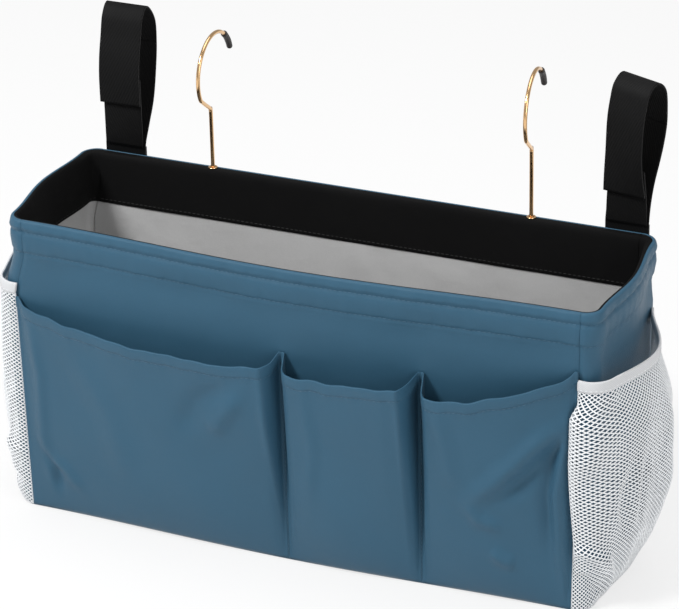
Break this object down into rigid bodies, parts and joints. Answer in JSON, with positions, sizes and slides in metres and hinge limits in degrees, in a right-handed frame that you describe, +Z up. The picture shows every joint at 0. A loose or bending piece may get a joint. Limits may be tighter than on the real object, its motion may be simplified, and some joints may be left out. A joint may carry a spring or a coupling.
{
  "type": "bedside caddy",
  "caption": "Hanging bedside caddy: a padded fabric box with pleated front pockets, net end pockets, hook-and-loop straps and swivelling wire hooks.",
  "frame": {"origin": "centre of the flat underside, at the level it rests on", "axes": "+X to the right along the long side, +Y to the back, towards the rail it hangs on, +Z up"},
  "size_m": [0.4851, 0.1919, 0.3259],
  "materials": {
    "oxford": "woven slate blue oxford cloth, faint sheen",
    "lining": "smooth light grey lining cloth",
    "facing": "black woven band",
    "foam": "soft open foam sheet",
    "board": "plain moulded sheet",
    "net": "white knitted net",
    "elastic": "white ribbed elastic",
    "webbing": "black twill webbing",
    "tape": "black hook-and-loop tape",
    "brass": "bright polished rose gold plate",
    "tip_rubber": "matt dark rubber"
  },
  "bodies": {
    "caddy": {"front_panel": "oxford", "back_panel": "oxford", "left_end_panel": "oxford", "right_end_panel": "oxford", "base_panel": "oxford", "front_foam": "foam", "back_foam": "foam", "left_end_foam": "foam", "right_end_foam": "foam", "back_board": "board", "base_board": "board", "front_lining": "lining", "back_lining": "lining", "left_end_lining": "lining", "right_end_lining": "lining", "base_lining": "lining", "front_facing": "facing", "back_facing": "facing", "left_end_facing": "facing", "right_end_facing": "facing", "left_front_pocket": "oxford", "middle_front_pocket": "oxford", "right_front_pocket": "oxford", "left_net_pocket": "net", "left_elastic_hem": "elastic", "right_net_pocket": "net", "right_elastic_hem": "elastic", "hook_batten": "board", "left_hook_eyelet": "brass", "right_hook_eyelet": "brass", "left_strap_anchor": "webbing", "right_strap_anchor": "webbing"},
    "left_hook_body": {"left_hook": "brass", "left_hook_tip": "tip_rubber", "left_hook_washer": "brass"},
    "right_hook_body": {"right_hook": "brass", "right_hook_tip": "tip_rubber", "right_hook_washer": "brass"},
    "left_strap_body": {"left_strap": "webbing", "left_strap_tongue": "webbing", "left_hook_tape": "tape"},
    "right_strap_body": {"right_strap": "webbing", "right_strap_tongue": "webbing", "right_hook_tape": "tape"},
    "left_flap_body": {"left_strap_flap": "webbing", "left_loop_tape": "tape"},
    "right_flap_body": {"right_strap_flap": "webbing", "right_loop_tape": "tape"}
  },
  "joints": [
    {"name": "left_hook_swivel", "type": "hinge", "parent": "caddy", "child": "left_hook_body", "pos_m": [-0.112, 0.0594, 0.22], "axis": [0, 0, 1], "continuous": true},
    {"name": "right_hook_swivel", "type": "hinge", "parent": "caddy", "child": "right_hook_body", "pos_m": [0.121, 0.0594, 0.22], "axis": [0, 0, 1], "continuous": true},
    {"name": "left_strap_swing", "type": "hinge", "parent": "caddy", "child": "left_strap_body", "pos_m": [-0.1805, 0.0657, 0.2244], "axis": [-1, 0, 0], "range_deg": [-85, 150]},
    {"name": "right_strap_swing", "type": "hinge", "parent": "caddy", "child": "right_strap_body", "pos_m": [0.1865, 0.0657, 0.2244], "axis": [-1, 0, 0], "range_deg": [-85, 150]},
    {"name": "left_flap_opening", "type": "hinge", "parent": "left_strap_body", "child": "left_flap_body", "pos_m": [-0.1805, 0.07372, 0.32619], "axis": [-1, 0, 0], "range_deg": [0, 150]},
    {"name": "right_flap_opening", "type": "hinge", "parent": "right_strap_body", "child": "right_flap_body", "pos_m": [0.19026, 0.0723, 0.32618], "axis": [-0.9272, 0.3746, 0], "range_deg": [0, 150]}
  ]
}
